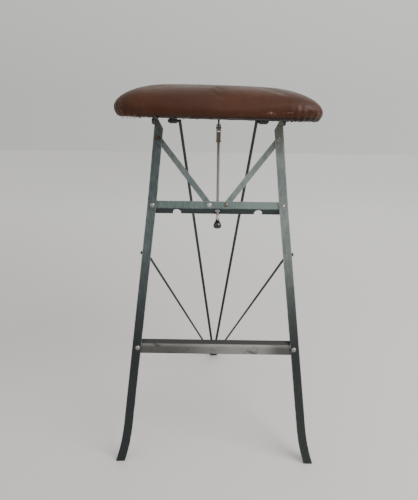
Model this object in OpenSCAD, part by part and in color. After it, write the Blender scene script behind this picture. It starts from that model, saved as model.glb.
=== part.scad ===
// Folding metal stool with a padded seat.
// A leaning front frame of two formed angle legs carries a rail, two braces and a footrest.
// A V of two round rods makes the single rear leg, and two thinner rods tie its foot to the
// front legs. The seat hinges on the leg tops, and a rod with a knob hangs from it through
// the rail. The frame is drawn flat, with s measured back from the front face of the legs
// and t measured up along them, and is then leaned back.

/* [Front frame] */
// Angle that the front frame leans back from upright, in degrees
lean = 12; // [11.5:0.1:12.5]
// Half width between the outer edges of the legs at the floor, before the feet flare out
foot_half = 184; // [181:0.5:187]
// Angle of each leg from the centre line below the rail
leg_splay = 5.9; // [5.7:0.1:6.1]
// Further turn towards upright of each leg above the rail
leg_turn = 1.0; // [0.8:0.1:1.2]
// Width of a leg's front flange
leg_face = 17; // [15:0.5:18]
// Depth of a leg's side flange
leg_depth = 14; // [13:0.5:14]
// Thickness of the leg angle
leg_t = 2.5; // [2:0.1:2.5]
// Distance up the frame to the leg tops
leg_top = 661; // [659:0.5:662]
// Distance up the frame at which the feet start to flare out
flare_start = 75; // [65:1:85]
// Radius of the flare of the feet
flare_r = 350; // [320:5:400]

/* [Rail, footrest and braces] */
// Thickness of the rail, footrest and brace strip
strip_t = 2; // [1.6:0.1:2.2]
// Distance up the frame to the rail's top edge
rail_top = 508; // [506:0.5:510]
// Height of the rail's face
rail_face = 14; // [13:0.5:15]
// Width of the rail's lip
rail_lip = 13.5; // [13:0.5:14]
// Distance up the frame to the footrest's bend
footrest_bend = 234.5; // [230:0.5:238]
// Height of the footrest's face
footrest_face = 19; // [17:0.5:21]
// Width of the footrest's lip
footrest_lip = 10; // [8:0.5:10]
// Angle between a strip's face and its lip, measured from straight on
lip_angle = 45; // [43:1:47]
// Half spacing of the two rod notches in the rail
notch_x = 77; // [76:0.5:78]
// Width of a rod notch
notch_w = 15; // [14:0.5:16]
// Width of a brace
brace_w = 11; // [10:0.5:12]

/* [Rods] */
// Diameter of the rear leg rods
rear_rod_d = 6.4; // [6:0.1:6.4]
// Diameter of the strut rods
strut_d = 4.8; // [4.4:0.1:4.8]
// Half spacing of the rear leg rods under the seat
rear_top_x = 80; // [79:0.5:81]
// Diameter of the lock rod
lock_rod_d = 5.2; // [4.8:0.1:5.2]
// Greatest diameter of the knob
knob_d = 15.4; // [14:0.2:17]

/* [Seat] */
// Width of the padded seat
seat_w = 364; // [356:1:372]
// Depth of the padded seat, front to back
seat_d = 244; // [240:1:250]
// Height of the seat's lower edge
seat_low = 645.5; // [645:0.1:646]
// Height of the top of the seat's crown
seat_high = 705; // [700:0.5:710]
// Thickness of the seat board
board_t = 12; // [10:0.5:13]

/* [Hidden] */
$fn = 48;

// Pivots, as places in the side view. Seat hinge and strut pivot are on the frame (s, t).
pivot_s = 8;
hinge_t = 656;
strut_t = 409;
hinge_y = pivot_s * cos(lean) + hinge_t * sin(lean);
hinge_z = hinge_t * cos(lean) - pivot_s * sin(lean);
strut_y = pivot_s * cos(lean) + strut_t * sin(lean);
strut_z = strut_t * cos(lean) - pivot_s * sin(lean);
// Rear leg pivot under the seat, and the foot pin at the floor
rear_y = 245;
rear_z = 641;
foot_y = 422;
foot_z = 10;
// Heel of the rear foot behind its pin, which is the rearmost point of the stool
heel = 11;
// The origin is at the middle of the footprint, on the floor
mid_y = (foot_y + heel) / 2;

board_z = 650;
seat_front = 46;
leg_inside = leg_t + 0.3;
rivet_r = 2.4;
hole_gap = 0.05;
hinge_pin_r = 3;
big = 1000;

// Path of a leg's outer edge: straight below the rail, a long easy bend, then straight again
bend_start = 470;
bend_r = 4000;
bend_len = bend_r * sin(leg_turn);
function edge_base(t) = foot_half - t * tan(leg_splay);
function edge_x(t) =
    let (past = max(0, t - bend_start), reach = min(past, bend_len))
    edge_base(t) + reach * reach / (2 * bend_r) + (past - reach) * tan(leg_turn);

// Fastener places on the frame, as [x, t]
leg_rail_at = [122.8, 499.4];
leg_brace_at = [111.7, 623.3];
brace_rail_at = [15.6, 501.2];
footrest_at = [149.9, 225.8];

// Lock rod: pivot below the seat, the place it passes the rail's lip, and the hole it has there
lock_y = hinge_y + 8;
lock_z = hinge_z - 11;
guide_s = 7.2;
guide_hole_s = 7.7;
guide_t = 490;
guide_r = 4;
guide_y = guide_s * cos(lean) + guide_t * sin(lean);
guide_z = guide_t * cos(lean) - guide_s * sin(lean);
lock_tilt = atan2(lock_y - guide_y, lock_z - guide_z);
lock_len = norm([lock_y - guide_y, lock_z - guide_z]);

// Rear leg: tilt from upright, and the distance from pin to pivot
rear_tilt = atan2(foot_y - rear_y, rear_z - foot_z);
rear_len = norm([foot_y - rear_y, rear_z - foot_z]);
foot_half_w = 9;
eye_t = 3;
eye_gap = 0.4;
// A rod is a little thicker where it is bent sharply
swell = 0.25;

// ---------------------------------------------------------------- placing
module in_place() { translate([0, -mid_y, 0]) children(); }
module on_frame() { in_place() rotate([-lean, 0, 0]) children(); }
// Extrudes a side profile, drawn as (depth, height), sideways to both sides of the middle
module across(half) { rotate([90, 0, 90]) translate([0, 0, -half]) linear_extrude(2 * half) children(); }
// A cylinder along X, from x0 to x1
module axle(r, x0, x1) { translate([x0, 0, 0]) rotate([0, 90, 0]) cylinder(r = r, h = x1 - x0); }
// A round rod between two points
module rod_between(a, b, r) {
    v = b - a;
    translate(a) rotate([0, acos(v.z / norm(v)), atan2(v.y, v.x)]) cylinder(r = r, h = norm(v));
}
// A domed head standing on z = 0
module dome(r, h) {
    ball = (r * r + h * h) / (2 * h);
    intersection() {
        translate([0, 0, h - ball]) sphere(r = ball);
        cylinder(r = r, h = h);
    }
}

// ---------------------------------------------------------------- front frame
// Angle with an eased outer corner
module angle_section() {
    ease = 2;
    nip = 0.3 * ease;
    polygon([[ease, 0], [leg_face, 0], [leg_face, leg_t], [leg_t, leg_t], [leg_t, leg_depth],
        [0, leg_depth], [0, ease], [nip, nip]]);
}

// Left leg in its own plane: x from its outer edge inwards, y to the back, z up the leg
module leg_bar() {
    straight = bend_start - flare_start;
    rise = leg_top + 10 - bend_start - bend_len;
    translate([0, 0, flare_start]) linear_extrude(straight) angle_section();
    translate([-flare_r, 0, flare_start]) rotate([-90, 0, 0])
        rotate_extrude(angle = 15, $fn = 180) translate([flare_r, 0]) angle_section();
    translate([-bend_r, 0, bend_start]) {
        rotate([-90, 0, 0]) rotate_extrude(angle = -leg_turn, $fn = 720)
            translate([bend_r, 0]) angle_section();
        rotate([0, -leg_turn, 0]) translate([bend_r, 0, 0])
            linear_extrude(rise) angle_section();
    }
}

module rivet_hole(at) {
    translate([-at.x, -1, at.y]) rotate([-90, 0, 0]) cylinder(r = rivet_r + hole_gap, h = 12);
}

module left_leg_shape() {
    chamfer_t = 641;
    heel_cut = 15;
    in_place() intersection() {
        rotate([-lean, 0, 0]) difference() {
            translate([-foot_half, 0, 0]) rotate([0, leg_splay, 0]) leg_bar();
            // Top, cut square, with the front flange's inner corner cut away
            translate([-200, -50, leg_top]) cube([200, 100, 100]);
            translate([-edge_x(chamfer_t) + leg_face, -1, chamfer_t]) rotate([0, -28, 0])
                cube([40, leg_t + 1, 60]);
            // The side flange stops short of the floor
            translate([-250, leg_t, -30]) cube([200, 50, 30 + heel_cut]);
            for (at = [leg_rail_at, leg_brace_at, footrest_at]) rivet_hole(at);
            translate([0, pivot_s, hinge_t]) axle(hinge_pin_r + hole_gap, -150, -100);
            translate([0, pivot_s, strut_t]) axle(strut_d / 2 + hole_gap, -170, -130);
        }
        translate([-big / 2, -big / 2, 0]) cube(big);
    }
}
module left_leg() { color([0.33, 0.40, 0.39]) left_leg_shape(); }
module right_leg() { color([0.42, 0.48, 0.46]) mirror([1, 0, 0]) left_leg_shape(); }

// Side profile of a strip whose lip turns back from the bend, downwards or upwards
function bent_strip(bend, face, lip, down) =
    let (inner = strip_t * tan(lip_angle / 2), back = leg_t + strip_t,
         run = lip * sin(lip_angle), drop = lip * cos(lip_angle),
         off_s = strip_t * cos(lip_angle), off_t = strip_t * sin(lip_angle),
         points = [[leg_t, face], [back, face], [back, inner],
                   [leg_t + run + off_s, off_t - drop], [leg_t + run, -drop], [leg_t, 0]])
    [for (p = points) [p.x, bend + (down ? p.y : -p.y)]];

// Cuts a round-ended notch into the rail's lip, open at its free edge
module notch_cut(x) {
    depth = 11;
    along = rail_lip - depth + notch_w / 2;
    translate([x, leg_t + along * sin(lip_angle), rail_top - rail_face - along * cos(lip_angle)])
        rotate([lip_angle - 90, 0, 0]) {
            cylinder(r = notch_w / 2, h = 12, center = true);
            translate([-notch_w / 2, 0, -6]) cube([notch_w, 20, 12]);
        }
}

module upper_rail() {
    half = edge_x(rail_top) - leg_inside;
    color([0.38, 0.46, 0.45]) on_frame() difference() {
        across(half) polygon(bent_strip(rail_top - rail_face, rail_face, rail_lip, true));
        for (side = [-1, 1]) {
            notch_cut(side * notch_x);
            rivet_hole([side * leg_rail_at.x, leg_rail_at.y]);
            rivet_hole([side * brace_rail_at.x, brace_rail_at.y]);
        }
        translate([0, guide_hole_s, guide_t - 15]) cylinder(r = guide_r, h = 24);
        // Relief behind the face for the rod's swing
        translate([0, guide_hole_s - 0.3, guide_t + 3]) cylinder(r = guide_r + 0.2, h = 40);
    }
}

module footrest() {
    half = edge_x(footrest_bend + footrest_lip) - leg_inside;
    color([0.45, 0.44, 0.43]) on_frame() difference() {
        across(half) polygon(bent_strip(footrest_bend, footrest_face, footrest_lip, false));
        for (side = [-1, 1]) rivet_hole([side * footrest_at.x, footrest_at.y]);
    }
}

// Brace: behind the rail at its lower end, and stepped forward to sit behind the leg
module left_brace_shape() {
    run = [brace_rail_at.x - leg_brace_at.x, leg_brace_at.y - brace_rail_at.y];
    len = norm(run);
    low = leg_t + strip_t;
    step = [12, 24];
    on_frame() difference() {
        translate([-brace_rail_at.x, 0, brace_rail_at.y]) rotate([0, atan2(run.x, run.y), 0])
            intersection() {
                across(brace_w / 2) polygon([[low, -20], [low, step[0]], [leg_t, step[1]],
                    [leg_t, len + 20], [low, len + 20], [low, step[1] + 0.3],
                    [low + strip_t, step[0] + 0.3], [low + strip_t, -20]]);
                rotate([-90, 0, 0]) union() {
                    cylinder(d = brace_w, h = 20);
                    translate([0, -len, 0]) cylinder(d = brace_w, h = 20);
                    translate([-brace_w / 2, -len, 0]) cube([brace_w, len, 20]);
                }
            }
        rivet_hole(leg_brace_at);
        rivet_hole(brace_rail_at);
    }
}
module left_brace() { color([0.40, 0.49, 0.48]) left_brace_shape(); }
module right_brace() { color([0.52, 0.58, 0.55]) mirror([1, 0, 0]) left_brace_shape(); }

// Pair of rivets at [x, t], from depth s0 to s1, with a front head of radius r and height h
module rivet_pair(at, s0, s1, r, h, domed) {
    on_frame() for (side = [-1, 1]) translate([side * at.x, s0, at.y]) rotate([90, 0, 0]) {
        if (domed) dome(r, h);
        else cylinder(r = r, h = h);
        translate([0, 0, s0 - s1]) cylinder(r = rivet_r, h = s1 - s0 + h / 2);
        translate([0, 0, s0 - s1 - 1.2]) cylinder(r = 4, h = 1.2);
    }
}
module leg_rail_rivets() { color("silver") rivet_pair(leg_rail_at, 0, leg_t + strip_t, 4.3, 1.8, true); }
module leg_brace_rivets() { color([0.3, 0.2, 0.13]) rivet_pair(leg_brace_at, 0, leg_t + strip_t, 4.4, 1.2, false); }
module brace_rail_rivets() { color("silver") rivet_pair(brace_rail_at, leg_t, leg_t + 2 * strip_t, 4.1, 1.6, true); }
module footrest_rivets() { color("gainsboro") rivet_pair(footrest_at, 0, leg_t + strip_t, 4.4, 1.9, true); }

// ---------------------------------------------------------------- seat hinge
// Places outwards along the hinge axis, from the leg's side flange
flange_out = edge_x(hinge_t);
washer_in = flange_out + 0.5;
washer_t = 1;
ear_in = washer_in + washer_t + 0.1;
ear_t = 2.5;
head_in = ear_in + ear_t + 0.1;

// Ear outside the leg, with a foot that turns outwards under the seat board
module left_seat_bracket_shape() {
    foot_l = 30;
    half_w = 12;
    in_place() difference() {
        union() {
            translate([-ear_in - ear_t, hinge_y, hinge_z]) {
                rotate([0, 90, 0]) cylinder(r = 6.5, h = ear_t);
                translate([0, -6.5, 0]) cube([ear_t, 13, board_z - hinge_z]);
                translate([0, -half_w, board_z - hinge_z - ear_t - 1]) cube([ear_t, 2 * half_w, ear_t + 1]);
                translate([-foot_l, -half_w, board_z - hinge_z - ear_t])
                    cube([foot_l + ear_t, 2 * half_w, ear_t]);
            }
        }
        translate([0, hinge_y, hinge_z]) axle(hinge_pin_r + hole_gap, -150, -100);
        for (dy = [-6, 6]) translate([-ear_in - ear_t - 18, hinge_y + dy, board_z - 10])
            cylinder(r = 2.05, h = 20);
    }
}
module left_seat_bracket() { color([0.10, 0.12, 0.13]) left_seat_bracket_shape(); }
module right_seat_bracket() { color([0.10, 0.12, 0.13]) mirror([1, 0, 0]) left_seat_bracket_shape(); }

// Wood screw from below: domed head under z = 0, shank up into the board
module screw_up(head_z, length) {
    translate([0, 0, head_z]) {
        rotate([180, 0, 0]) dome(3.6, 1.6);
        cylinder(r = 2, h = length);
    }
}
module seat_bracket_screws() {
    color("dimgray") in_place() for (side = [-1, 1], dy = [-6, 6])
        translate([side * (ear_in + ear_t + 18), hinge_y + dy, 0]) screw_up(board_z - ear_t, 12);
}

module seat_hinge_pins() {
    color([0.14, 0.15, 0.15]) in_place() translate([0, hinge_y, hinge_z]) for (side = [0, 1])
        mirror([side, 0, 0]) {
            axle(hinge_pin_r, -head_in, -flange_out + leg_t + 0.5);
            axle(5, -head_in - 2, -head_in);
            axle(4.6, -flange_out + leg_t + 0.5, -flange_out + leg_t + 2);
        }
}

module seat_hinge_washers() {
    color("gray") in_place() translate([0, hinge_y, hinge_z]) for (side = [0, 1])
        mirror([side, 0, 0]) difference() {
            axle(5.5, -washer_in - washer_t, -washer_in);
            axle(hinge_pin_r + hole_gap, -150, -100);
        }
}

// ---------------------------------------------------------------- seat
// Round-cornered plate in plan, inset from the seat's outline
module plan(inset, corner) {
    w = seat_w / 2 - inset - corner;
    y0 = seat_front + inset + corner;
    y1 = seat_front + seat_d - inset - corner;
    for (x = [-w, w], y = [y0, y1]) translate([x, y]) circle(r = corner);
    translate([-w - corner, y0]) square([2 * (w + corner), y1 - y0]);
    translate([-w, y0 - corner]) square([2 * w, y1 - y0 + 2 * corner]);
}

// Points along an arc, from angle a0 to a1
function arc(centre, r, a0, a1, steps) =
    [for (i = [0 : steps]) let (a = a0 + (a1 - a0) * i / steps) centre + r * [cos(a), sin(a)]];

// Crowned end view of the seat: flat in the middle, then an easy arc of radius slope_r that
// runs into a tighter shoulder above an upright side, with a small toe at the lower edge
shoulder = 22;
function crowned(half, low, high, flat, slope_r, toe) =
    let (reach = slope_r - shoulder, run = half - shoulder - flat,
         rise = sqrt(reach * reach - run * run), join = atan2(rise, run),
         right = concat(arc([half - toe, low + toe], toe, -90, 0, 4),
                        arc([half - shoulder, high - slope_r + rise], shoulder, 0, join, 5),
                        arc([flat, high - slope_r], slope_r, join + 4, 90, 7)))
    concat(right, [for (i = [len(right) - 1 : -1 : 0]) [-right[i].x, right[i].y]]);

module loaf(inset, low, toe) {
    mid_seat = seat_front + seat_d / 2;
    intersection() {
        translate([0, 0, low]) linear_extrude(100) plan(inset, 46 - inset);
        translate([0, big / 2, 0]) rotate([90, 0, 0]) linear_extrude(big)
            polygon(crowned(seat_w / 2 - inset, low, seat_high - inset, 90, 158 - inset, toe));
        translate([-big / 2, mid_seat, 0]) rotate([90, 0, 90]) linear_extrude(big)
            polygon(crowned(seat_d / 2 - inset, low, seat_high - inset, 36, 115 - inset, toe));
    }
}

cover_t = 2.5;
hem_w = 14;
board_inset = 7;
module board_shape(inset) {
    translate([0, 0, board_z]) linear_extrude(board_t) plan(inset, 46 - inset);
}
module seat_board() {
    color("burlywood") in_place() board_shape(board_inset);
}
// Padding over the board and around its edge
module seat_pad() {
    color("khaki") in_place() difference() {
        loaf(cover_t, board_z, 3);
        translate([0, 0, -1]) board_shape(board_inset - 0.1);
        board_shape(board_inset - 0.1);
    }
}
module seat_cover() {
    color([0.34, 0.19, 0.12]) in_place() difference() {
        loaf(0, seat_low, 8);
        loaf(cover_t, board_z, 3);
        linear_extrude(board_z + 1) plan(hem_w, 46 - hem_w);
    }
}

// Tack heads along the middle of the turned-under hem
module cover_tacks() {
    inset = hem_w / 2 + 3;
    per_long = 10;
    per_short = 6;
    half = seat_w / 2 - 48;
    color("dimgray") in_place() {
        for (i = [0 : per_long - 1], y = [seat_front + inset, seat_front + seat_d - inset])
            translate([-half + 2 * half * i / (per_long - 1), y, seat_low]) rotate([180, 0, 0]) dome(3, 1.2);
        for (i = [1 : per_short - 2], side = [-1, 1])
            translate([side * (seat_w / 2 - inset), seat_front + 20 + (seat_d - 40) * i / (per_short - 1),
                seat_low]) rotate([180, 0, 0]) dome(3, 1.2);
    }
}

// ---------------------------------------------------------------- rear leg clips
clip_x0 = rear_top_x + 6;
clip_x1 = clip_x0 + 16;
module left_rod_clip_shape() {
    r = rear_rod_d / 2;
    ear = 14;
    plate = 2;
    in_place() translate([0, rear_y, 0]) difference() {
        union() {
            translate([0, 0, rear_z]) axle(r + 2, -clip_x1, -clip_x0);
            translate([-clip_x1, -r - 2, rear_z]) cube([clip_x1 - clip_x0, 2 * r + 4, board_z - rear_z]);
            translate([-clip_x1, -ear, board_z - plate]) cube([clip_x1 - clip_x0, 2 * ear, plate]);
        }
        translate([0, 0, rear_z]) axle(r + hole_gap, -200, 0);
        for (dy = [-10, 10]) translate([-(clip_x0 + clip_x1) / 2, dy, board_z - 10]) cylinder(r = 1.85, h = 20);
    }
}
module left_rod_clip() { color([0.12, 0.14, 0.14]) left_rod_clip_shape(); }
module right_rod_clip() { color([0.12, 0.14, 0.14]) mirror([1, 0, 0]) left_rod_clip_shape(); }
module rod_clip_screws() {
    color("dimgray") in_place() for (side = [-1, 1], dy = [-10, 10])
        translate([side * (clip_x0 + clip_x1) / 2, rear_y + dy, board_z - 2]) {
            rotate([180, 0, 0]) dome(3.2, 1.4);
            cylinder(r = 1.8, h = 11);
        }
}

// ---------------------------------------------------------------- lock rod
blade_t = 3.4;
lock_pin_r = 1.6;
fork_r = 4.35;
fork_top = 6.5;
fork_low = 24;
nut_t = 3;
neck_len = 8;
knob_len = 17.5;
knob_top = -lock_len - 16;
module at_lock_rod() { in_place() translate([0, lock_y, lock_z]) rotate([-lock_tilt, 0, 0]) children(); }

// Blade that hangs edge-on below the seat board from a screwed foot
module lock_bracket() {
    foot = [34, 20, 2.5];
    color([0.08, 0.09, 0.10]) in_place() difference() {
        translate([0, lock_y, 0]) {
            translate([0, 0, lock_z]) axle(5.5, -blade_t / 2, blade_t / 2);
            translate([-blade_t / 2, -5.5, lock_z]) cube([blade_t, 11, board_z - lock_z]);
            translate([-foot.x / 2, -foot.y / 2, board_z - foot.z]) cube(foot);
        }
        translate([0, lock_y, lock_z]) axle(lock_pin_r + hole_gap, -10, 10);
        for (side = [-1, 1]) translate([side * 10, lock_y, board_z - 10]) cylinder(r = 2.05, h = 20);
    }
}
module lock_bracket_screws() {
    color("dimgray") in_place() for (side = [-1, 1])
        translate([side * 10, lock_y, 0]) screw_up(board_z - 2.5, 12);
}
module lock_pivot_pin() {
    color("gray") at_lock_rod() {
        axle(lock_pin_r, -fork_r - 0.2, fork_r + 0.2);
        for (side = [-1, 1]) translate([side * (fork_r + 0.2), 0, 0]) rotate([0, side * 90, 0]) dome(2.4, 0.9);
    }
}
module lock_rod_fork() {
    slot = blade_t + 0.8;
    color([0.45, 0.38, 0.32]) at_lock_rod() difference() {
        translate([0, 0, -fork_low]) cylinder(r = fork_r, h = fork_low + fork_top);
        translate([-slot / 2, -10, -9]) cube([slot, 20, 30]);
        axle(lock_pin_r + 0.01, -10, 10);
        translate([0, 0, -fork_low - 1]) cylinder(r = lock_rod_d / 2, h = 8);
    }
}
module lock_rod_nut() {
    color([0.42, 0.35, 0.30]) at_lock_rod() difference() {
        translate([0, 0, -fork_low - nut_t]) cylinder(r = 4.85, h = nut_t);
        translate([0, 0, -fork_low - nut_t - 1]) cylinder(r = lock_rod_d / 2, h = nut_t + 2);
    }
}
module lock_rod() {
    top = -fork_low + 7;
    bottom = knob_top - 6;
    color([0.48, 0.46, 0.44]) at_lock_rod() translate([0, 0, bottom]) cylinder(d = lock_rod_d, h = top - bottom);
}
module knob_ferrule() {
    color("lightgray") at_lock_rod() difference() {
        translate([0, 0, knob_top]) cylinder(r = 3.2, h = neck_len);
        translate([0, 0, knob_top - 1]) cylinder(r = lock_rod_d / 2, h = neck_len + 2);
    }
}
// Pear shape: narrow at the neck and widest near its flattened lower end
module lock_knob() {
    steps = 20;
    neck_r = 3.2;
    function pear(u) = neck_r + (knob_d / 2 - neck_r) * pow(sin(90 * min(1, u / 0.68)), 1.6);
    function belly(u) = u < 0.68 ? pear(u) : knob_d / 2 * sqrt(1 - 0.8 * pow((u - 0.68) / 0.32, 2.6));
    outline = [for (i = [0 : steps]) let (u = i / steps) [belly(u), -u * knob_len]];
    color([0.03, 0.03, 0.04]) at_lock_rod() translate([0, 0, knob_top]) difference() {
        rotate_extrude($fn = 64) polygon(concat([[0, 0]], outline, [[0, -knob_len]]));
        translate([0, 0, -6]) cylinder(r = lock_rod_d / 2, h = 7);
    }
}

// ---------------------------------------------------------------- rear leg
// Places along the rear leg, measured up from the foot pin
block_top = 30;
socket_low = 18;
block_x = 5;
module at_rear_leg() { in_place() translate([0, foot_y, foot_z]) rotate([rear_tilt, 0, 0]) children(); }
function rod_x(up) = block_x + (rear_top_x - block_x) * (up - block_top) / (rear_len - block_top);

module left_rear_rod_shape() {
    r = rear_rod_d / 2;
    at_rear_leg() {
        rod_between([-rod_x(socket_low), 0, socket_low], [-rear_top_x, 0, rear_len], r);
        translate([-rear_top_x, 0, rear_len]) sphere(r = r + swell);
        translate([0, 0, rear_len]) axle(r, -clip_x1 - 3, -rear_top_x);
    }
}
module left_rear_rod() { color([0.13, 0.18, 0.18]) left_rear_rod_shape(); }
module right_rear_rod() { color([0.13, 0.18, 0.18]) mirror([1, 0, 0]) left_rear_rod_shape(); }

// Forged foot: holds both rods, hooks over the foot pin and stands on the floor.
// Its pin slot is open to the front.
module rear_foot() {
    slot_r = 4.2;
    slot_len = 24;
    slot_angle = 30;
    back = [heel, 8];
    color([0.15, 0.19, 0.19]) difference() {
        intersection() {
            union() {
                at_rear_leg() translate([-foot_half_w, -9, 4]) cube([2 * foot_half_w, 18, block_top - 4]);
                in_place() translate([0, foot_y, 0]) across(foot_half_w)
                    polygon([[-6, 0], [9, 0], back, [7, 16], [-12, 20], [-13, 14], [-6, 5]]);
            }
            in_place() translate([-50, foot_y - 40, 0]) cube([100, 40 + heel, 100]);
        }
        in_place() translate([0, foot_y, foot_z]) rotate([slot_angle, 0, 0]) {
            axle(slot_r, -20, 20);
            translate([-20, -slot_len, -slot_r]) cube([40, slot_len, 2 * slot_r]);
        }
        at_rear_leg() for (side = [-1, 1])
            rod_between([side * rod_x(socket_low), 0, socket_low],
                [side * rod_x(block_top + 10), 0, block_top + 10], rear_rod_d / 2);
    }
}

// ---------------------------------------------------------------- struts
eye_in = foot_half_w + eye_gap;
module left_strut_shape() {
    r = strut_d / 2;
    corner_x = edge_x(strut_t) - leg_t - 5.5;
    out_x = edge_x(strut_t) + 3.4;
    pivot = [0, strut_y, strut_z];
    in_place() difference() {
        union() {
            rod_between([-eye_in - eye_t / 2, foot_y, foot_z], [-corner_x, strut_y, strut_z], r);
            translate(pivot) {
                translate([-corner_x, 0, 0]) sphere(r = r + swell);
                axle(r, -out_x, -corner_x);
                translate([-out_x + 1, 0, 0]) rotate([0, -90, 0]) dome(4.2, 2);
            }
            translate([0, foot_y, foot_z]) axle(6.5, -eye_in - eye_t, -eye_in);
        }
        translate([0, foot_y, foot_z]) axle(hinge_pin_r, -30, 30);
        translate([-eye_in, foot_y - 20, 0]) cube([20, 40, 40]);
    }
}
module left_strut() { color([0.07, 0.09, 0.10]) left_strut_shape(); }
module right_strut() { color([0.07, 0.09, 0.10]) mirror([1, 0, 0]) left_strut_shape(); }

// Plain washers on the struts' turned-out ends, inside the legs
module strut_washers() {
    in_x = edge_x(strut_t) - leg_t - 1;
    color("gray") in_place() translate([0, strut_y, strut_z]) for (side = [0, 1]) mirror([side, 0, 0])
        difference() {
            axle(5, -in_x, -in_x + 1.2);
            axle(strut_d / 2, -200, -100);
        }
}

module foot_pin() {
    end_x = eye_in + eye_t;
    color([0.12, 0.13, 0.14]) in_place() translate([0, foot_y, foot_z]) {
        axle(hinge_pin_r, -end_x, end_x);
        for (side = [-1, 1]) translate([side * end_x, 0, 0]) rotate([0, side * 90, 0]) dome(5, 2.2);
    }
}

left_leg();
right_leg();
upper_rail();
left_brace();
right_brace();
footrest();
leg_rail_rivets();
leg_brace_rivets();
brace_rail_rivets();
footrest_rivets();
left_seat_bracket();
right_seat_bracket();
seat_bracket_screws();
seat_hinge_pins();
seat_hinge_washers();
seat_board();
seat_pad();
seat_cover();
cover_tacks();
left_rod_clip();
right_rod_clip();
rod_clip_screws();
lock_bracket();
lock_bracket_screws();
lock_pivot_pin();
lock_rod_fork();
lock_rod_nut();
lock_rod();
knob_ferrule();
lock_knob();
left_rear_rod();
right_rear_rod();
rear_foot();
left_strut();
right_strut();
strut_washers();
foot_pin();
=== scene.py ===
"""Folding stool: materials for the metal frame, an upholstered seat cushion, light and camera.

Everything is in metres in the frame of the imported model: +Z up, front towards -Y.
"""

import math

import bmesh
import bpy
import numpy as np
from mathutils import Matrix, Vector


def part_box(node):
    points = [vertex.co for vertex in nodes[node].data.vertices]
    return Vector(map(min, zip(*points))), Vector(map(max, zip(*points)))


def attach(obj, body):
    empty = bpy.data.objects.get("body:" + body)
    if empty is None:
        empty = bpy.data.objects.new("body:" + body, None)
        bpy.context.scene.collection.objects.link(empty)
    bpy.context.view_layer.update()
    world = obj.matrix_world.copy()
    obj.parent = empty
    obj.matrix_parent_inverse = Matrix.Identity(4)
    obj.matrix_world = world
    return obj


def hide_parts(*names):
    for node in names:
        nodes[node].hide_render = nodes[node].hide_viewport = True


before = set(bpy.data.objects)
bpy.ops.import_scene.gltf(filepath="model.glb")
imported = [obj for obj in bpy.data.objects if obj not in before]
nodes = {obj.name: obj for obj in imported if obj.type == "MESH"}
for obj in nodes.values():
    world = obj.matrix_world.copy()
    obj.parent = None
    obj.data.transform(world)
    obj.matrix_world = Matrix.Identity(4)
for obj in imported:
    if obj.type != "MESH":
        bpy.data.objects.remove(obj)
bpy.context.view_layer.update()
MM = 0.001
LEAN = math.radians(12)
FRONT_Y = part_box("left_leg")[0].y
# Places of the bends in the footrest and the rail, measured up the leaning frame
FOOTREST_BEND = 0.2345
RAIL_BEND = 0.4945
# Painted shade: the enamel is painted darkest below the first height and lightens up to the second
SHADE_BELOW, SHADE_ABOVE = 0.22, 0.46


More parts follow.
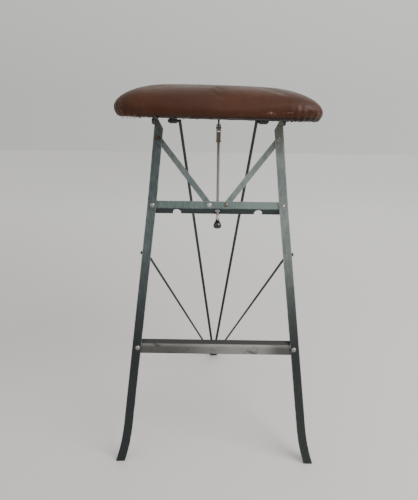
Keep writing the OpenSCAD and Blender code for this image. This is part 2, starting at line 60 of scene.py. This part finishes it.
# ------------------------------------------------------------------ node trees
class Paint:
    """A principled material and short calls for the nodes that feed it."""

    def __init__(self, name, roughness=0.5, metallic=0.0, **sockets):
        self.mat = bpy.data.materials.new(name)
        self.mat.use_nodes = True
        self.tree = self.mat.node_tree
        self.tree.nodes.clear()
        out = self.tree.nodes.new("ShaderNodeOutputMaterial")
        self.bsdf = self.tree.nodes.new("ShaderNodeBsdfPrincipled")
        self.tree.links.new(self.bsdf.outputs[0], out.inputs[0])
        self.coord = self.tree.nodes.new("ShaderNodeTexCoord").outputs["Object"]
        self.bsdf.inputs["Roughness"].default_value = roughness
        self.bsdf.inputs["Metallic"].default_value = metallic
        for key, value in sockets.items():
            self.bsdf.inputs[key.replace("_", " ")].default_value = value

    def put(self, value, socket):
        """Sets a socket to a number or colour, or links an output to it."""
        if isinstance(value, bpy.types.NodeSocket):
            self.tree.links.new(value, socket)
        else:
            needs_alpha = socket.type == "RGBA" and len(value) == 3
            socket.default_value = (*value, 1) if needs_alpha else value

    def node(self, kind, inputs=(), **settings):
        made = self.tree.nodes.new("ShaderNode" + kind)
        for key, value in settings.items():
            setattr(made, key, value)
        for key, value in dict(inputs).items():
            self.put(value, made.inputs[key])
        return made

    def stretched(self, scale, shift=(0, 0, 0)):
        """Object coordinates, moved and scaled along each axis."""
        made = self.node("Mapping", {"Location": shift, "Scale": scale}, vector_type="POINT")
        self.tree.links.new(self.coord, made.inputs["Vector"])
        return made.outputs[0]

    def noise(self, scale, detail=3.0, rough=0.55, vector=None, warp=0.0):
        inputs = {"Vector": vector or self.coord, "Scale": scale, "Detail": detail, "Roughness": rough,
                  "Distortion": warp}
        return self.node("TexNoise", inputs).outputs["Fac"]

    def cells(self, scale, feature="F1", vector=None):
        made = self.node("TexVoronoi", {"Vector": vector or self.coord, "Scale": scale}, feature=feature)
        return made.outputs["Distance"]

    def ramp(self, value, low, high, to_low=0.0, to_high=1.0):
        """Value from low..high to to_low..to_high, held at both ends."""
        limits = {"From Min": low, "From Max": high, "To Min": to_low, "To Max": to_high}
        made = self.node("MapRange", {"Value": value, **limits}, interpolation_type="SMOOTHSTEP")
        return made.outputs[0]

    def math(self, operation, a, b=0.0):
        return self.node("Math", {0: a, 1: b}, operation=operation).outputs[0]

    def mix(self, a, b, factor):
        """Colour a where factor is 0 and b where it is 1."""
        made = self.node("Mix", data_type="RGBA")
        self.put(factor, made.inputs[0])
        self.put(a, made.inputs[6])
        self.put(b, made.inputs[7])
        return made.outputs[2]

    def axis(self, name):
        return self.node("SeparateXYZ", {0: self.coord}).outputs[name]

    def up_frame(self):
        """Distance up the leaning front frame."""
        along = self.math("MULTIPLY", self.math("SUBTRACT", self.axis("Y"), FRONT_Y), math.sin(LEAN))
        return self.math("ADD", along, self.math("MULTIPLY", self.axis("Z"), math.cos(LEAN)))

    def edges(self, radius):
        """High on outer edges sharper than the radius, 0 on flat faces."""
        soft = self.node("Bevel", {"Radius": radius}, samples=6).outputs[0]
        flat = self.node("NewGeometry").outputs["Normal"]
        dot = self.node("VectorMath", {0: soft, 1: flat}, operation="DOT_PRODUCT").outputs["Value"]
        return self.math("SUBTRACT", 1.0, dot)

    def bump(self, height, strength, distance, normal=None):
        inputs = {"Height": height, "Strength": strength, "Distance": distance}
        if normal is not None:
            inputs["Normal"] = normal
        return self.node("Bump", inputs).outputs[0]

    def finish(self, colour, roughness=None, metallic=None, normal=None):
        self.put(colour, self.bsdf.inputs["Base Color"])
        if roughness is not None:
            self.put(roughness, self.bsdf.inputs["Roughness"])
        if metallic is not None:
            self.put(metallic, self.bsdf.inputs["Metallic"])
        if normal is not None:
            self.put(normal, self.bsdf.inputs["Normal"])
        return self.mat


# ------------------------------------------------------------------ metal
def enamel(name, light, dark, wear=0.5, low_shade=0.0, lip_at=None, painted_right_light=0.0):
    """Grey-green hammertone enamel, mottled, scuffed and worn bright on its edges, the worn edges also a
    painted highlight; with painted shade towards the bottom and on a lip, and painted light towards the
    right.
    """
    p = Paint(name, metallic=0.25, Specular_IOR_Level=0.55)
    blotch = p.noise(9, 4, 0.6)
    grain = p.noise(160, 3, 0.6)
    hammer = p.cells(330)
    streak = p.noise(30, 4, 0.65, p.stretched((9, 9, 0.7)), warp=0.3)
    tone = p.math("ADD", p.ramp(blotch, 0.3, 0.7, 0, 0.55), p.ramp(streak, 0.35, 0.7, 0, 0.45))
    colour = p.mix(dark, light, tone)
    colour = p.mix(colour, tuple(0.55 * c for c in dark), p.ramp(grain, 0.5, 0.78, 0, 0.55))
    colour = p.mix(colour, tuple(min(1, 1.5 * c) for c in light), p.ramp(hammer, 0.16, 0.0, 0, 0.35))
    if low_shade:
        # Painted shade: darker towards the bottom
        height = p.axis("Z")
        colour = p.mix(colour, (0.0030, 0.0062, 0.0070), p.ramp(height, SHADE_ABOVE, SHADE_BELOW, 0, low_shade))
    # Painted light: brighter towards the right
    if painted_right_light:
        brighter = tuple(1.25 * c for c in light)
        colour = p.mix(colour, brighter, p.ramp(p.axis("X"), -0.03, 0.09, 0, painted_right_light))
    # Painted shade on the lip below the bend
    if lip_at:
        lip_shade = p.ramp(p.up_frame(), lip_at + 0.001, lip_at - 0.001, 0, 0.95)
        colour = p.mix(colour, (0.012, 0.022, 0.026), lip_shade)
    # Bare metal worn on the edges, also a painted highlight along the corners
    edge = p.ramp(p.edges(0.0020), 0.02, 0.16)
    broken = p.ramp(p.noise(60, 5, 0.7), 0.62 - 0.3 * wear, 0.72 - 0.2 * wear)
    worn_and_highlight = p.math("MULTIPLY", edge, broken)
    chips = p.ramp(p.noise(45, 6, 0.75, p.stretched((1.6, 1.6, 0.5), shift=(3, 1, 2))), 0.70, 0.74)
    worn_and_highlight = p.math("MAXIMUM", worn_and_highlight, p.math("MULTIPLY", chips, 0.6 * wear))
    colour = p.mix(colour, (0.46, 0.50, 0.48), worn_and_highlight)
    specks = p.ramp(p.noise(420, 2, 0.5, p.stretched((1, 1, 1), shift=(5, 0, 0))), 0.70, 0.78, 0, 0.7)
    colour = p.mix(colour, (0.035, 0.03, 0.025), specks)
    rough = p.ramp(p.math("ADD", blotch, grain), 0.7, 1.3, 0.30, 0.52)
    normal = p.bump(hammer, 0.22, 0.0006)
    normal = p.bump(p.math("SUBTRACT", grain, p.math("MULTIPLY", worn_and_highlight, 0.8)), 0.25, 0.0004, normal)
    return p.finish(colour, rough, p.ramp(worn_and_highlight, 0, 1, 0.25, 0.85), normal)


def bare_steel(name, base, dirt, scratch_along="X", rust=0.15, roughness=(0.28, 0.5), metallic=0.9):
    """Bare steel with fine scratches along one axis, dull smudges and a little rust."""
    scale = {"X": (0.35, 14, 14), "Z": (14, 14, 0.35), "": (6, 6, 6)}[scratch_along]
    p = Paint(name, metallic=metallic)
    lines = p.noise(110, 4, 0.7, p.stretched(scale))
    smudge = p.noise(38, 4, 0.6, p.stretched((1, 1, 1), shift=(2, 7, 1)), warp=0.6)
    spots = p.noise(190, 5, 0.7, p.stretched((1, 1, 1), shift=(4, 4, 4)))
    colour = p.mix(base, tuple(0.62 * c for c in base), p.ramp(lines, 0.35, 0.7))
    colour = p.mix(colour, dirt, p.ramp(smudge, 0.52, 0.68, 0, 0.75))
    colour = p.mix(colour, (0.16, 0.075, 0.035), p.ramp(spots, 0.66, 0.76, 0, rust * 3))
    rough = p.ramp(p.math("ADD", lines, smudge), 0.7, 1.3, *roughness)
    normal = p.bump(lines, 0.18, 0.0003, p.bump(spots, 0.2, 0.0003))
    return p.finish(colour, rough, None, normal)


def worn_footrest():
    """Bare steel worn by feet and smudged, with a painted reflection brighter right of the middle, a painted
    highlight along the bend and painted shade on the upper lip.
    """
    p = Paint("steel_footrest", metallic=0.5)
    up, x = p.up_frame(), p.axis("X")
    lines = p.noise(110, 4, 0.7, p.stretched((0.35, 14, 14)))
    smudge = p.noise(34, 4, 0.6, p.stretched((1, 1, 2), shift=(2.4, 7, 1)), warp=0.6)
    # Painted reflection: brighter right of the middle, fading towards both ends
    painted_reflection = p.math("MULTIPLY", p.ramp(x, -0.09, 0.05), p.ramp(x, 0.125, 0.085))
    colour = p.mix((0.085, 0.084, 0.080), (0.27, 0.265, 0.25), painted_reflection)
    # Painted highlight along the bend
    near_bend = p.ramp(up, FOOTREST_BEND - 0.008, FOOTREST_BEND - 0.001)
    painted_bend_highlight = p.math("MULTIPLY", near_bend, p.ramp(painted_reflection, 0, 1, 0.35, 0.75))
    colour = p.mix(colour, (0.42, 0.415, 0.40), painted_bend_highlight)
    colour = p.mix(colour, (0.066, 0.0648, 0.060), p.ramp(lines, 0.4, 0.75, 0, 0.45))
    colour = p.mix(colour, (0.035, 0.030, 0.026), p.ramp(smudge, 0.55, 0.68, 0, 0.7))
    # Painted shade on the upper lip above the bend
    colour = p.mix(colour, (0.042, 0.043, 0.043), p.ramp(up, FOOTREST_BEND - 0.0008, FOOTREST_BEND + 0.0008))
    rough = p.ramp(p.math("ADD", lines, smudge), 0.7, 1.3, 0.36, 0.55)
    return p.finish(colour, rough, None, p.bump(lines, 0.15, 0.0003))


def ringed_rivets(name, left, right):
    """Rivet heads worn differently on the left and right sides."""
    p = Paint(name, metallic=0.75)
    spots = p.noise(260, 4, 0.7)
    colour = p.mix(left, right, p.ramp(p.axis("X"), -0.001, 0.001))
    colour = p.mix(colour, (0.035, 0.026, 0.02), p.ramp(spots, 0.52, 0.68, 0, 0.7))
    return p.finish(colour, p.ramp(spots, 0.4, 0.7, 0.25, 0.5), None, p.bump(spots, 0.2, 0.0003))


def plywood():
    p = Paint("seat_board_plywood", roughness=0.75)
    grain = p.noise(26, 5, 0.6, p.stretched((1.2, 16, 16)), warp=0.8)
    fine = p.noise(260, 3, 0.6, p.stretched((0.6, 4, 4)))
    wave = p.node("TexWave", {"Vector": p.coord, "Scale": 95, "Distortion": 0.6}, bands_direction="Z")
    plies = wave.outputs[1]
    colour = p.mix((0.47, 0.31, 0.17), (0.30, 0.18, 0.09), p.ramp(grain, 0.35, 0.7))
    colour = p.mix(colour, (0.22, 0.13, 0.07), p.ramp(plies, 0.55, 0.9, 0, 0.35))
    colour = p.mix(colour, (0.12, 0.08, 0.05), p.ramp(p.noise(11, 4), 0.55, 0.75, 0, 0.5))
    return p.finish(colour, None, None, p.bump(p.math("ADD", grain, fine), 0.35, 0.0008))


def knob_plastic():
    p = Paint("knob_black", roughness=0.16, Coat_Weight=0.4, Coat_Roughness=0.08)
    scuff = p.noise(900, 4, 0.7)
    colour = p.mix((0.004, 0.004, 0.005), (0.03, 0.028, 0.026), p.ramp(scuff, 0.55, 0.75))
    return p.finish(colour, p.ramp(scuff, 0.45, 0.75, 0.12, 0.34), None, p.bump(scuff, 0.06, 0.0004))


# ------------------------------------------------------------------ seat cushion
board_lo, board_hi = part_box("seat_board")
cover_lo, cover_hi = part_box("seat_cover")
MID_Y = (cover_lo.y + cover_hi.y) / 2
HALF_X = (cover_hi.x - cover_lo.x) / 2
HALF_Y = (cover_hi.y - cover_lo.y) / 2
LOW = cover_lo.z
HIGH = cover_hi.z
WIDEST = LOW + 16.5 * MM
FLAT_X = HALF_X - 92 * MM
FLAT_Y = HALF_Y - 82 * MM
HEM = 14 * MM
CORNER_POWER = 4.0
SWELL_ROOM = 3.5 * MM
BOTTOM_ROUND = 9 * MM
PLEAT_CORNER = 58 * MM
PLEAT_PITCH = 0.21
CLOTH_FRAMES = 20
SAG_SLOPE, SAG, SHIFT_LEFT = 0.0165, 0.8 * MM, 2.2 * MM


def corner_point(angle, reach, inset=0.0):
    """A point on the plan outline at that angle. reach 1 is the widest line and 0 the flat middle."""
    c, s = math.cos(angle), math.sin(angle)
    x = FLAT_X + (HALF_X - FLAT_X) * reach * abs(c) ** (2 / CORNER_POWER) - inset
    y = FLAT_Y + (HALF_Y - FLAT_Y) * reach * abs(s) ** (2 / CORNER_POWER) - inset
    return math.copysign(x, c), math.copysign(y, s)


def outline_angles():
    """Angles evenly spread round the outline, none of them exactly on an axis."""
    steps = 50
    quarter = [math.pi / 2 * (0.5 - 0.5 * math.cos(math.pi * (i + 0.5) / steps)) for i in range(steps)]
    return [q * math.pi / 2 + a for q in range(4) for a in quarter]


def crown(x, y):
    """Gentle doming of the top, and a slightly lower right-hand end."""
    fall = 2.4 * MM * (x / HALF_X) ** 2 + 1.5 * MM * (y / HALF_Y) ** 2
    tilt = 2.6 * MM * max(0.0, x / HALF_X) ** 1.5
    return fall + tilt


def cushion_start():
    """The cushion's closed form before it is inflated."""
    angles = outline_angles()
    rings = []
    for inset in (HALF_Y * 0.62, HALF_Y * 0.4, HALF_Y * 0.2, BOTTOM_ROUND + 1 * MM):
        rings.append([(*corner_point(a, 1, inset), LOW) for a in angles])
    for i in range(7):
        drop = math.cos(math.pi / 2 * i / 6)
        inset = BOTTOM_ROUND * (1 - math.sqrt(max(0.0, 1 - drop ** 2)))
        rings.append([(*corner_point(a, 1, inset), WIDEST - (WIDEST - LOW) * drop) for a in angles])
    top = HIGH - SWELL_ROOM
    for i in range(1, 15):
        reach = math.cos(math.pi / 2 * i / 14)
        rise = math.sqrt(max(0.0, 1 - reach ** 2))
        ring = []
        for a in angles:
            x, y = corner_point(a, reach)
            ring.append((x, y, WIDEST + (top - WIDEST) * rise - crown(x, y) * rise))
        rings.append(ring)
    for shrink in (0.75, 0.5, 0.25):
        rings.append([(x * shrink, y * shrink, top - crown(x * shrink, y * shrink)) for x, y, _ in rings[-1]])
    bm = bmesh.new()
    made = [[bm.verts.new((x, y + MID_Y, z)) for x, y, z in ring] for ring in rings]
    count = len(angles)
    for lower, upper in zip(made, made[1:]):
        for i in range(count):
            j = (i + 1) % count
            bm.faces.new((lower[i], lower[j], upper[j], upper[i]))
    bm.faces.new(list(reversed(made[0])))
    bm.faces.new(made[-1])
    bmesh.ops.recalc_face_normals(bm, faces=bm.faces)
    mesh = bpy.data.meshes.new("seat_cushion")
    bm.to_mesh(mesh)
    bm.free()
    return mesh


def coords(mesh):
    flat = np.empty(len(mesh.vertices) * 3, np.float32)
    mesh.vertices.foreach_get("co", flat)
    return flat.reshape(-1, 3).astype(float)


def set_coords(mesh, points):
    mesh.vertices.foreach_set("co", points.astype(np.float32).ravel())
    mesh.update()


def normals(mesh):
    flat = np.empty(len(mesh.vertices) * 3, np.float32)
    mesh.vertices.foreach_get("normal", flat)
    return flat.reshape(-1, 3).astype(float)


def bake(obj):
    """Applies the object's modifiers to its mesh."""
    graph = bpy.context.evaluated_depsgraph_get()
    mesh = bpy.data.meshes.new_from_object(obj.evaluated_get(graph))
    obj.modifiers.clear()
    obj.data = mesh
    return mesh


def smooth_step(value, low, high):
    t = np.clip((value - low) / (high - low), 0, 1)
    return t * t * (3 - 2 * t)


def inflate(obj, voxel, pressure, cap):
    """Remeshes the piece evenly and lets cloth simulation swell it, pinned where it is tacked down."""
    remesh = obj.modifiers.new("remesh", "REMESH")
    remesh.mode = "VOXEL"
    remesh.voxel_size = voxel
    mesh = bake(obj)
    start = coords(mesh)
    pin = obj.vertex_groups.new(name="pin")
    for i in np.nonzero(start[:, 2] < LOW + 3 * MM)[0]:
        pin.add([int(i)], 1.0, "REPLACE")
    cloth = obj.modifiers.new("cloth", "CLOTH")
    settings = cloth.settings
    settings.quality = 6
    settings.mass = 0.35
    settings.tension_stiffness = 25
    settings.compression_stiffness = 25
    settings.bending_stiffness = 3
    settings.use_pressure = True
    settings.uniform_pressure_force = pressure
    settings.vertex_group_mass = "pin"
    settings.effector_weights.gravity = 0
    cloth.collision_settings.use_collision = False
    cloth.point_cache.frame_start = 1
    cloth.point_cache.frame_end = CLOTH_FRAMES
    for f in range(1, CLOTH_FRAMES + 1):
        bpy.context.scene.frame_set(f)
    mesh = bake(obj)
    moved = coords(mesh) - start
    far = np.linalg.norm(moved, axis=1, keepdims=True)
    set_coords(mesh, start + moved * np.minimum(1, cap / np.maximum(far, 1e-9)))
    bpy.context.scene.frame_set(1)


def pleats_and_creases(mesh):
    """Gathers at the four corners, a bulge above them, and shallow dents along the lower edge."""
    p = coords(mesh)
    n = normals(mesh)
    x, y, z = p[:, 0], p[:, 1] - MID_Y, p[:, 2]
    corner_x, corner_y = HALF_X - PLEAT_CORNER, HALF_Y - PLEAT_CORNER
    dx, dy = np.abs(x) - corner_x, np.abs(y) - corner_y
    angle = np.arctan2(dy, dx)
    out = np.hypot(np.maximum(dx, 0), np.maximum(dy, 0))
    in_corner = smooth_step(angle, -0.25, 0.10) * (1 - smooth_step(angle, 1.47, 1.82))
    in_corner = in_corner * smooth_step(out, 0.030, 0.045)
    low_down = 1 - smooth_step(z, LOW + 9 * MM, LOW + 30 * MM)
    uneven = 1 + 0.35 * np.sin(5.1 * angle + 2.0 * np.sign(x) + 1.0 * np.sign(y))
    wander = 0.015 * np.sin(130 * z + 3 * np.sign(x))
    folds = np.cos((angle + wander) * (2 * math.pi / PLEAT_PITCH) + 1.3 * np.sign(x) + 0.7 * np.sign(y))
    folds = np.where(folds > 0, np.abs(folds) ** 0.7, -np.abs(folds) ** 1.6)
    push = 0.7 * MM * folds * uneven * in_corner * low_down
    bulge = 1.4 * MM * in_corner * np.exp(-((z - LOW - 14 * MM) / (9 * MM)) ** 2)
    waves = np.sin(x * 47 + 1.0) * np.sin(x * 19 + 0.4) + 0.6 * np.sin(x * 83 + 2.0)
    lower = np.exp(-((z - LOW - 13 * MM) / (8 * MM)) ** 2) * (1 - in_corner)
    dents = 0.55 * MM * waves * lower
    ends = 0.5 * MM * np.sin(y * 70 + 0.5) * lower * smooth_step(np.abs(x), HALF_X - 0.03, HALF_X)
    p += n * (push + bulge + dents + ends)[:, None]
    p[:, 2] = np.maximum(p[:, 2], LOW - 1.2 * MM * in_corner)
    set_coords(mesh, p)


def tuck_under(mesh):
    """Turns the cover under as a hem, and hides the rest of the bottom inside the board."""
    p = coords(mesh)
    x, y = np.abs(p[:, 0]), np.abs(p[:, 1] - MID_Y)
    inner_x, inner_y, corner = HALF_X - HEM, HALF_Y - HEM, 32 * MM
    qx, qy = np.maximum(x - inner_x + corner, 0), np.maximum(y - inner_y + corner, 0)
    inside = np.hypot(qx, qy) < corner
    ripple = 0.8 * MM * np.sin(p[:, 0] * 150) * np.sin(p[:, 1] * 130 + 1)
    low = p[:, 2] < LOW + 4 * MM
    p[inside & low, 2] = board_lo.z + 4 * MM
    hem = low & ~inside
    p[hem, 2] += np.minimum(0, ripple[hem])
    set_coords(mesh, p)


def settle(mesh):
    """The cushion sits a little to the left on its board and sags towards the right."""
    p = coords(mesh)
    p[:, 2] -= SAG_SLOPE * p[:, 0] + SAG
    p[:, 0] -= SHIFT_LEFT
    set_coords(mesh, p)


def leathercloth():
    """Old brown leathercloth: fine grain, soft sheen, a painted sheen lightening the top, pale cracks at the
    corners, scuffs below and painted shade along the bottom edge.
    """
    p = Paint("cushion_leathercloth", Specular_IOR_Level=0.24, Coat_Weight=0.03, Coat_Roughness=0.35)
    patch = p.noise(7, 4, 0.6, warp=0.4)
    mottle = p.noise(34, 4, 0.6)
    grain = p.cells(900, "SMOOTH_F1")
    pores = p.noise(1400, 2, 0.5)
    colour = p.mix((0.038, 0.0096, 0.0020), (0.062, 0.0172, 0.0040), p.ramp(patch, 0.32, 0.7))
    colour = p.mix(colour, (0.030, 0.0078, 0.0024), p.ramp(mottle, 0.5, 0.78, 0, 0.45))
    z, x, y = p.axis("Z"), p.axis("X"), p.axis("Y")
    # Painted sheen: the top is lightened towards grey-brown
    top = p.ramp(z, HIGH - 0.026, HIGH - 0.004)
    colour = p.mix(colour, (0.072, 0.048, 0.034), p.math("MULTIPLY", top, 0.62))
    # Pale cracks where the cover is gathered
    near_end = p.ramp(p.math("ABSOLUTE", x), HALF_X - 0.036, HALF_X - 0.010)
    near_side = p.ramp(p.math("ABSOLUTE", p.math("SUBTRACT", y, MID_Y)), HALF_Y - 0.075, HALF_Y - 0.03)
    low = p.ramp(z, LOW + 0.030, LOW + 0.012)
    corner = p.math("MULTIPLY", p.math("MULTIPLY", near_end, near_side), low)
    crack = p.cells(140, "DISTANCE_TO_EDGE", p.stretched((1, 1, 0.55)))
    crack_line = p.ramp(crack, 0.045, 0.012)
    broken = p.ramp(p.noise(120, 4, 0.7), 0.45, 0.6)
    crack_line = p.math("MULTIPLY", p.math("MULTIPLY", crack_line, broken), corner)
    colour = p.mix(colour, (0.48, 0.36, 0.27), p.math("MULTIPLY", crack_line, 0.5))
    # Rubbed patches along the lower edge of the front and ends
    band = p.math("MULTIPLY", p.ramp(z, LOW + 0.003, LOW + 0.007), p.ramp(z, LOW + 0.013, LOW + 0.008))
    rub = p.ramp(p.noise(16, 4, 0.65, p.stretched((1, 1, 3.5), shift=(1.3, 0, 0))), 0.56, 0.66)
    rub = p.math("MULTIPLY", rub, p.ramp(p.noise(300, 3, 0.6), 0.38, 0.62))
    colour = p.mix(colour, (0.36, 0.22, 0.155), p.math("MULTIPLY", p.math("MULTIPLY", band, rub), 0.75))
    # Painted shade along the bottom edge where the cover turns under
    under = p.ramp(z, LOW + 0.004, LOW + 0.001)
    colour = p.mix(colour, (0.012, 0.006, 0.004), p.math("MULTIPLY", under, 0.9))
    rough = p.ramp(p.math("ADD", mottle, p.math("MULTIPLY", patch, 0.6)), 0.6, 1.1, 0.46, 0.60)
    creases = p.noise(60, 5, 0.6, p.stretched((0.55, 0.55, 1.5)), warp=1.2)
    normal = p.bump(grain, 0.12, 0.0004)
    normal = p.bump(pores, 0.05, 0.0002, normal)
    normal = p.bump(creases, 0.22, 0.0022, normal)
    normal = p.bump(p.math("MULTIPLY", crack_line, -1.0), 0.5, 0.0008, normal)
    return p.finish(colour, rough, None, normal)


cushion = bpy.data.objects.new("seat_cushion", cushion_start())
bpy.context.scene.collection.objects.link(cushion)
inflate(cushion, voxel=4.5 * MM, pressure=4.0, cap=4.0 * MM)
subdivide = cushion.modifiers.new("subdivide", "SUBSURF")
subdivide.levels = subdivide.render_levels = 1
bake(cushion)
pleats_and_creases(cushion.data)
tuck_under(cushion.data)
settle(cushion.data)
cushion.vertex_groups.clear()
cushion.data.shade_smooth()
cushion.data.materials.clear()
cushion.data.materials.append(leathercloth())
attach(cushion, "seat")
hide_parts("seat_cover", "seat_pad")

# ------------------------------------------------------------------ finishes of the CAD parts
# Painted shade: the left leg is painted darker than the right, and both legs darken towards the bottom
left_leg_painted_shade = enamel("enamel_left_leg_painted_shade", (0.105, 0.135, 0.132), (0.030, 0.045, 0.047), 0.7, 0.93)
leg_right = enamel("enamel_right_leg", (0.225, 0.255, 0.238), (0.095, 0.120, 0.118), 0.85, 0.93)
strip = enamel("enamel_rail", (0.165, 0.215, 0.200), (0.065, 0.098, 0.098), 0.6, lip_at=RAIL_BEND,
               painted_right_light=0.6)
brace_left = enamel("enamel_left_brace", (0.175, 0.215, 0.205), (0.075, 0.105, 0.105), 0.6)
brace_right = enamel("enamel_right_brace", (0.245, 0.285, 0.265), (0.115, 0.150, 0.142), 0.75)
# The rods also darken towards the bottom as painted shade
rod_paint = enamel("enamel_rods", (0.042, 0.060, 0.061), (0.016, 0.025, 0.026), 0.25, 0.97)
bracket_paint = enamel("enamel_brackets", (0.04, 0.055, 0.058), (0.016, 0.022, 0.024), 0.25)
footrest_steel = worn_footrest()
rivet_steel = bare_steel("steel_rivets", (0.34, 0.34, 0.325), (0.12, 0.10, 0.085), "", 0.25, (0.22, 0.4))
brace_top_rivets = ringed_rivets("steel_brace_top_rivets", (0.075, 0.050, 0.033), (0.30, 0.30, 0.28))
brace_foot_rivets = ringed_rivets("steel_brace_foot_rivets", (0.50, 0.50, 0.47), (0.16, 0.125, 0.10))
screw_steel = bare_steel("steel_screws", (0.33, 0.32, 0.30), (0.12, 0.10, 0.08), "", 0.3)
pin_steel = bare_steel("steel_pins", (0.10, 0.11, 0.11), (0.035, 0.032, 0.03), "", 0.25, (0.3, 0.5), 0.7)
lock_steel = bare_steel("steel_lock_rod", (0.27, 0.245, 0.225), (0.11, 0.085, 0.07), "Z", 0.25, (0.3, 0.5),
                        0.8)
ferrule_steel = bare_steel("steel_ferrule", (0.62, 0.58, 0.54), (0.30, 0.24, 0.2), "Z", 0.1, (0.25, 0.4))
tack_steel = bare_steel("steel_tacks", (0.09, 0.08, 0.07), (0.03, 0.024, 0.02), "", 0.4, (0.4, 0.6), 0.6)

FINISHES = {
    left_leg_painted_shade: ["left_leg"],
    leg_right: ["right_leg"],
    strip: ["upper_rail"],
    brace_left: ["left_brace"],
    brace_right: ["right_brace"],
    rod_paint: ["left_rear_rod", "right_rear_rod", "rear_foot", "left_strut", "right_strut"],
    bracket_paint: ["left_seat_bracket", "right_seat_bracket", "left_rod_clip", "right_rod_clip",
                    "lock_bracket"],
    footrest_steel: ["footrest"],
    rivet_steel: ["leg_rail_rivets", "footrest_rivets"],
    brace_top_rivets: ["leg_brace_rivets"],
    brace_foot_rivets: ["brace_rail_rivets"],
    screw_steel: ["seat_bracket_screws", "rod_clip_screws", "lock_bracket_screws", "seat_hinge_washers",
                  "strut_washers", "lock_pivot_pin"],
    pin_steel: ["seat_hinge_pins", "foot_pin"],
    lock_steel: ["lock_rod_fork", "lock_rod_nut", "lock_rod"],
    ferrule_steel: ["knob_ferrule"],
    tack_steel: ["cover_tacks"],
    plywood(): ["seat_board"],
    knob_plastic(): ["lock_knob"],
}
for finish, names in FINISHES.items():
    for name in names:
        mesh = nodes[name].data
        if mesh.materials:
            for i in range(len(mesh.materials)):
                mesh.materials[i] = finish
        else:
            mesh.materials.append(finish)

# ------------------------------------------------------------------ floor, light and camera
FLOOR_HALF = 9.0
floor_mesh = bpy.data.meshes.new("floor")
floor_mesh.from_pydata([(-FLOOR_HALF, -FLOOR_HALF, 0), (FLOOR_HALF, -FLOOR_HALF, 0),
                        (FLOOR_HALF, FLOOR_HALF, 0), (-FLOOR_HALF, FLOOR_HALF, 0)], [], [(0, 1, 2, 3)])
floor = bpy.data.objects.new("floor", floor_mesh)
bpy.context.scene.collection.objects.link(floor)
paper = Paint("floor_paper", roughness=0.9)
# Painted light: the floor is brighter to the right and further back
painted_light_back = paper.ramp(paper.axis("Y"), 0.3, 2.6)
painted_light_right = paper.ramp(paper.axis("X"), -1.5, 1.5)
near = paper.mix((0.555, 0.54, 0.53), (0.68, 0.67, 0.66), painted_light_right)
far = paper.mix((0.74, 0.735, 0.72), (0.86, 0.855, 0.84), painted_light_right)
floor_mesh.materials.append(paper.finish(paper.mix(near, far, painted_light_back)))

world = bpy.data.worlds.new("studio")
bpy.context.scene.world = world
world.use_nodes = True
sky = world.node_tree
direction = sky.nodes.new("ShaderNodeSeparateXYZ")
sky.links.new(sky.nodes.new("ShaderNodeTexCoord").outputs["Generated"], direction.inputs[0])


def sky_ramp(axis, start, end, low, high):
    made = sky.nodes.new("ShaderNodeMapRange")
    sky.links.new(direction.outputs[axis], made.inputs["Value"])
    for key, value in {"From Min": start, "From Max": end, "To Min": low, "To Max": high}.items():
        made.inputs[key].default_value = value
    return made.outputs[0]


brightness = sky.nodes.new("ShaderNodeMath")
brightness.operation = "MULTIPLY"
sky.links.new(sky_ramp("X", -1, 1, 0.76, 1.24), brightness.inputs[0])
sky.links.new(sky_ramp("Z", 0.05, 0.7, 0.68, 0.98), brightness.inputs[1])
background = sky.nodes["Background"]
background.inputs[0].default_value = (1.0, 0.995, 0.975, 1)
sky.links.new(brightness.outputs[0], background.inputs[1])


def area_light(name, place, target, size, power, tint=(1, 1, 1)):
    data = bpy.data.lights.new(name, "AREA")
    data.shape = "RECTANGLE"
    data.size, data.size_y = size
    data.energy = power
    data.color = tint
    lamp = bpy.data.objects.new(name, data)
    bpy.context.scene.collection.objects.link(lamp)
    lamp.location = place
    lamp.rotation_euler = (Vector(target) - Vector(place)).to_track_quat("-Z", "Y").to_euler()


area_light("key", (1.5, -1.1, 2.1), (0, 0, 0.45), (1.6, 1.2), 48, (1.0, 0.985, 0.96))
area_light("fill", (-1.9, -1.3, 1.2), (0, 0, 0.4), (1.8, 1.6), 5, (0.95, 0.98, 1.0))
area_light("back", (0.2, 1.7, 1.9), (0, 0, 0.6), (2.2, 0.9), 4)

# Camera: a hand-held view from in front, a little above the seat and tipped down
FOCAL = 38.33
CAMERA_AT = Vector((-0.0115, -0.9379, 0.6396))
YAW, PITCH, ROLL = (math.radians(a) for a in (-0.26, 16.05, 0.69))
forward = Vector((math.sin(YAW) * math.cos(PITCH), math.cos(YAW) * math.cos(PITCH), -math.sin(PITCH)))
level = Vector((math.cos(YAW), -math.sin(YAW), 0))
raised = level.cross(forward)
right = level * math.cos(ROLL) + raised * math.sin(ROLL)
upward = raised * math.cos(ROLL) - level * math.sin(ROLL)
lens = bpy.data.cameras.new("camera")
lens.sensor_fit = "HORIZONTAL"
lens.sensor_width = 36
lens.lens = FOCAL
camera = bpy.data.objects.new("camera", lens)
bpy.context.scene.collection.objects.link(camera)
turn = Matrix((right, upward, -forward)).transposed()
camera.matrix_world = Matrix.Translation(CAMERA_AT) @ turn.to_4x4()
bpy.context.scene.camera = camera
